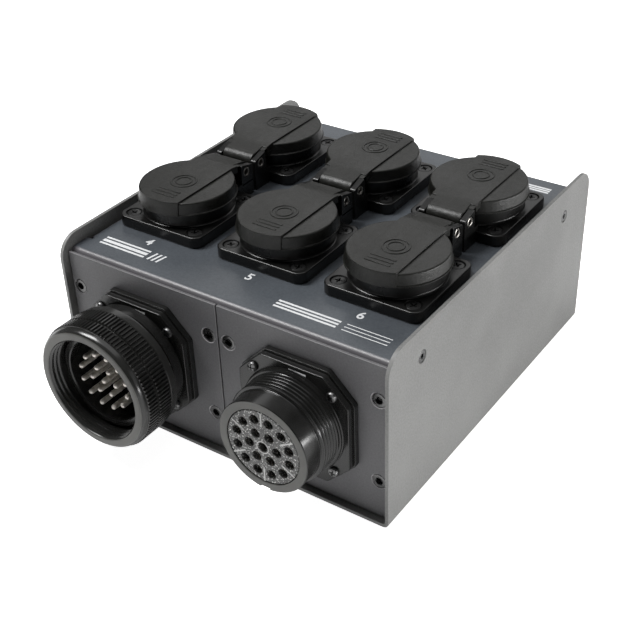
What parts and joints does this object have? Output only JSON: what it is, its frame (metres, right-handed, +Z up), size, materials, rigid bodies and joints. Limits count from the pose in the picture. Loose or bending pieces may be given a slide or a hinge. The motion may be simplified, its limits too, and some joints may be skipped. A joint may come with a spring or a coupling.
{
  "type": "portable power distribution box",
  "caption": "Sheet-metal power breakout box with lidded mains sockets on top and a round multi-pin inlet and through outlet on the front.",
  "frame": {"origin": "middle of the flat underside of the tray", "axes": "+Z up, +X to the right along the front, +Y towards the back; the connectors point along -Y"},
  "size_m": [0.182, 0.2315, 0.105],
  "materials": {
    "cover_paint": "fine-textured slate blue-grey powder coat",
    "panel_paint": "fine-textured graphite powder coat",
    "tray_paint": "fine-textured graphite powder coat",
    "socket_plastic": "moulded black plastic with a soft sheen",
    "bright_steel": "bright rolled steel",
    "silver_contact": "silver-plated contact metal",
    "black_screw": "blackened steel",
    "backing_plate": "dark grey satin",
    "black_anodised": "black anodised, satin",
    "black_insert": "black moulded insulator",
    "grey_insert": "mottled grey moulded insulator",
    "cable_sheath": "black flexible sheath",
    "brass": "turned brass",
    "white_print": "white screen print"
  },
  "bodies": {
    "case": {"base_screw_1": "black_screw", "base_screw_2": "black_screw", "base_screw_3": "black_screw", "base_screw_4": "black_screw", "base_tray": "tray_paint", "earth_stud": "brass", "feed_wiring": "cable_sheath", "inlet_backing_plate": "backing_plate", "inlet_pin_insert": "black_insert", "inlet_shell": "black_anodised", "left_front_panel": "panel_paint", "left_panel_screw_1": "black_screw", "left_panel_screw_2": "black_screw", "left_panel_screw_3": "black_screw", "left_panel_screw_4": "black_screw", "left_side_screw_1": "black_screw", "left_side_screw_2": "black_screw", "outlet_backing_plate": "backing_plate", "outlet_shell": "black_anodised", "outlet_socket_insert": "grey_insert", "right_front_panel": "panel_paint", "right_panel_screw_1": "black_screw", "right_panel_screw_2": "black_screw", "right_panel_screw_3": "black_screw", "right_panel_screw_4": "black_screw", "right_side_screw_1": "black_screw", "right_side_screw_2": "black_screw", "socket_1_body": "socket_plastic", "socket_1_earth_clip": "silver_contact", "socket_1_hinge_pin": "bright_steel", "socket_1_lid_spring": "bright_steel", "socket_2_body": "socket_plastic", "socket_2_earth_clip": "silver_contact", "socket_2_hinge_pin": "bright_steel", "socket_2_lid_spring": "bright_steel", "socket_3_body": "socket_plastic", "socket_3_earth_clip": "silver_contact", "socket_3_hinge_pin": "bright_steel", "socket_3_lid_spring": "bright_steel", "socket_4_body": "socket_plastic", "socket_4_earth_clip": "silver_contact", "socket_4_hinge_pin": "bright_steel", "socket_4_lid_spring": "bright_steel", "socket_5_body": "socket_plastic", "socket_5_earth_clip": "silver_contact", "socket_5_hinge_pin": "bright_steel", "socket_5_lid_spring": "bright_steel", "socket_6_body": "socket_plastic", "socket_6_earth_clip": "silver_contact", "socket_6_hinge_pin": "bright_steel", "socket_6_lid_spring": "bright_steel", "through_wiring": "cable_sheath", "top_cover": "cover_paint"},
    "lid_1": {"socket_1_lid": "socket_plastic"},
    "lid_2": {"socket_2_lid": "socket_plastic"},
    "lid_3": {"socket_3_lid": "socket_plastic"},
    "lid_4": {"socket_4_lid": "socket_plastic"},
    "lid_5": {"socket_5_lid": "socket_plastic"},
    "lid_6": {"socket_6_lid": "socket_plastic"},
    "coupling_ring": {"inlet_coupling_ring": "black_anodised"}
  },
  "joints": [
    {"name": "lid_1_hinge", "type": "hinge", "parent": "case", "child": "lid_1", "pos_m": [-0.0596, 0.0046, 0.0986], "axis": [1, 0, 0], "range_deg": [0, 85]},
    {"name": "lid_2_hinge", "type": "hinge", "parent": "case", "child": "lid_2", "pos_m": [0, 0.0046, 0.0986], "axis": [1, 0, 0], "range_deg": [0, 85]},
    {"name": "lid_3_hinge", "type": "hinge", "parent": "case", "child": "lid_3", "pos_m": [0.0596, 0.0046, 0.0986], "axis": [1, 0, 0], "range_deg": [0, 85]},
    {"name": "lid_4_hinge", "type": "hinge", "parent": "case", "child": "lid_4", "pos_m": [-0.0596, -0.0075, 0.0986], "axis": [-1, 0, 0], "range_deg": [0, 85]},
    {"name": "lid_5_hinge", "type": "hinge", "parent": "case", "child": "lid_5", "pos_m": [0, -0.0075, 0.0986], "axis": [-1, 0, 0], "range_deg": [0, 85]},
    {"name": "lid_6_hinge", "type": "hinge", "parent": "case", "child": "lid_6", "pos_m": [0.0596, -0.0075, 0.0986], "axis": [-1, 0, 0], "range_deg": [0, 85]},
    {"name": "coupling_ring_spin", "type": "hinge", "parent": "case", "child": "coupling_ring", "pos_m": [-0.0446, -0.12, 0.044], "axis": [0, -1, 0], "continuous": true}
  ]
}
